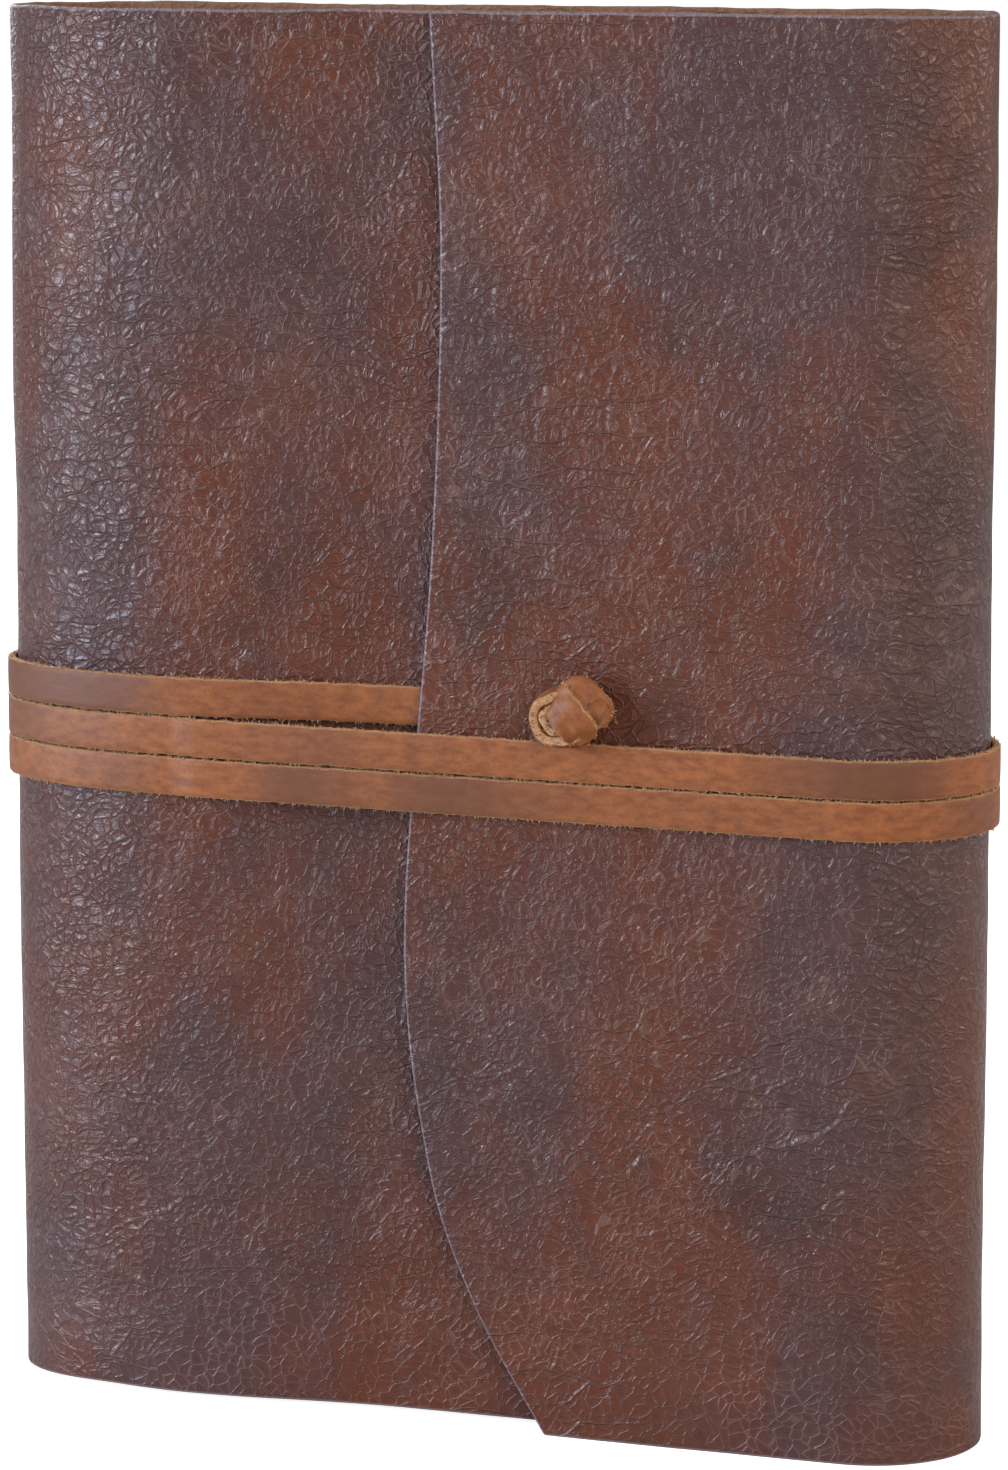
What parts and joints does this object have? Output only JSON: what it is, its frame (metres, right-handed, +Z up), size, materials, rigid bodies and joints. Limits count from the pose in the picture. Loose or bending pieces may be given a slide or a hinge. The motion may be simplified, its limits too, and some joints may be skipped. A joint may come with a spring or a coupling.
{
  "type": "leather notebook cover",
  "caption": "Closed soft leather journal cover with a wrap-over front flap, tied shut by a flat lace wound round it and knotted through the flap, with its sewn notebook inside.",
  "frame": {"origin": "middle of the footprint on the surface the closed book stands on", "axes": "+Z up the spine, front cover and flap face -Y, spine at -X and fore-edge at +X"},
  "size_m": [0.1632, 0.0455, 0.22],
  "materials": {
    "cover_leather": "waxed dark brown pull-up hide with coarse grain and cloudy lighter patches, satin",
    "lace_leather": "tan lace with a worn smooth face and fuzzy cut edges, semi-matte",
    "pocket_leather": "flesh-side brown leather, matte",
    "paper": null,
    "card": "kraft card, matte",
    "thread": "waxed linen thread"
  },
  "bodies": {
    "back": {"back_cover": "cover_leather", "back_card": "card", "back_pocket": "pocket_leather", "signature_8": "paper", "sewing_thread_8": "thread"},
    "spine": {"spine_wrap": "cover_leather"},
    "front": {"front_cover": "cover_leather", "front_card": "card", "front_pocket": "pocket_leather"},
    "fore_edge": {"fore_edge_wrap": "cover_leather"},
    "flap": {"closing_flap": "cover_leather", "lace_knot": "lace_leather"},
    "lace": {"wrap_lace": "lace_leather"},
    "leaves_1": {"signature_1": "paper", "sewing_thread_1": "thread"},
    "leaves_2": {"signature_2": "paper", "sewing_thread_2": "thread"},
    "leaves_3": {"signature_3": "paper", "sewing_thread_3": "thread"},
    "leaves_4": {"signature_4": "paper", "sewing_thread_4": "thread"},
    "leaves_5": {"signature_5": "paper", "sewing_thread_5": "thread"},
    "leaves_6": {"signature_6": "paper", "sewing_thread_6": "thread"},
    "leaves_7": {"signature_7": "paper", "sewing_thread_7": "thread"}
  },
  "joints": [
    {"name": "spine_hinge", "type": "hinge", "parent": "back", "child": "spine", "pos_m": [-0.072, 0.01696, 0.11], "axis": [0, 0, -1], "range_deg": [0, 90], "deforming": ["closing_flap", "fore_edge_wrap", "wrap_lace", "lace_knot"]},
    {"name": "cover_hinge", "type": "hinge", "parent": "spine", "child": "front", "pos_m": [-0.072, -0.00857, 0.11], "axis": [0, 0, -1], "range_deg": [0, 90], "deforming": ["closing_flap", "fore_edge_wrap", "wrap_lace", "lace_knot"]},
    {"name": "fore_edge_hinge", "type": "hinge", "parent": "back", "child": "fore_edge", "pos_m": [0.072, 0.01674, 0.11], "axis": [0, 0, 1], "range_deg": [0, 90], "deforming": ["closing_flap", "fore_edge_wrap", "wrap_lace", "lace_knot"]},
    {"name": "flap_hinge", "type": "hinge", "parent": "fore_edge", "child": "flap", "pos_m": [0.072, -0.01264, 0.11], "axis": [0, 0, 1], "range_deg": [0, 90], "deforming": ["closing_flap", "fore_edge_wrap", "wrap_lace", "lace_knot"]},
    {"name": "leaf_hinge_1", "type": "hinge", "parent": "back", "child": "leaves_1", "pos_m": [-0.0716, 0.00419, 0.11], "axis": [0, 0, -1], "range_deg": [0, 177], "deforming": ["closing_flap", "fore_edge_wrap", "wrap_lace", "lace_knot"]},
    {"name": "leaf_hinge_2", "type": "hinge", "parent": "back", "child": "leaves_2", "pos_m": [-0.0716, 0.00419, 0.11], "axis": [0, 0, -1], "range_deg": [0, 170], "deforming": ["closing_flap", "fore_edge_wrap", "wrap_lace", "lace_knot"]},
    {"name": "leaf_hinge_3", "type": "hinge", "parent": "back", "child": "leaves_3", "pos_m": [-0.0716, 0.00419, 0.11], "axis": [0, 0, -1], "range_deg": [0, 163], "deforming": ["closing_flap", "fore_edge_wrap", "wrap_lace", "lace_knot"]},
    {"name": "leaf_hinge_4", "type": "hinge", "parent": "back", "child": "leaves_4", "pos_m": [-0.0716, 0.00419, 0.11], "axis": [0, 0, -1], "range_deg": [0, 156], "deforming": ["closing_flap", "fore_edge_wrap", "wrap_lace", "lace_knot"]},
    {"name": "leaf_hinge_5", "type": "hinge", "parent": "back", "child": "leaves_5", "pos_m": [-0.0716, 0.00419, 0.11], "axis": [0, 0, -1], "range_deg": [0, 12], "deforming": ["closing_flap", "fore_edge_wrap", "wrap_lace", "lace_knot"]},
    {"name": "leaf_hinge_6", "type": "hinge", "parent": "back", "child": "leaves_6", "pos_m": [-0.0716, 0.00419, 0.11], "axis": [0, 0, -1], "range_deg": [0, 8], "deforming": ["closing_flap", "fore_edge_wrap", "wrap_lace", "lace_knot"]},
    {"name": "leaf_hinge_7", "type": "hinge", "parent": "back", "child": "leaves_7", "pos_m": [-0.0716, 0.00419, 0.11], "axis": [0, 0, -1], "range_deg": [0, 4], "deforming": ["closing_flap", "fore_edge_wrap", "wrap_lace", "lace_knot"]},
    {"name": "lace_slide", "type": "slide", "parent": "back", "child": "lace", "axis": [0, 0, 1], "range_m": [0, 0.135], "deforming": ["closing_flap", "fore_edge_wrap", "wrap_lace", "lace_knot"]}
  ],
  "couplings": [
    {"joint": "cover_hinge", "follows": "spine_hinge", "ratio": 1},
    {"joint": "fore_edge_hinge", "follows": "spine_hinge", "ratio": 1},
    {"joint": "flap_hinge", "follows": "spine_hinge", "ratio": 1},
    {"joint": "leaf_hinge_1", "follows": "spine_hinge", "ratio": 1.9667},
    {"joint": "leaf_hinge_2", "follows": "spine_hinge", "ratio": 1.8889},
    {"joint": "leaf_hinge_3", "follows": "spine_hinge", "ratio": 1.8111},
    {"joint": "leaf_hinge_4", "follows": "spine_hinge", "ratio": 1.7333},
    {"joint": "leaf_hinge_5", "follows": "spine_hinge", "ratio": 0.13332},
    {"joint": "leaf_hinge_6", "follows": "spine_hinge", "ratio": 0.08888},
    {"joint": "leaf_hinge_7", "follows": "spine_hinge", "ratio": 0.04443},
    {"joint": "lace_slide", "follows": "spine_hinge", "m_per_rad": 0.0859}
  ]
}
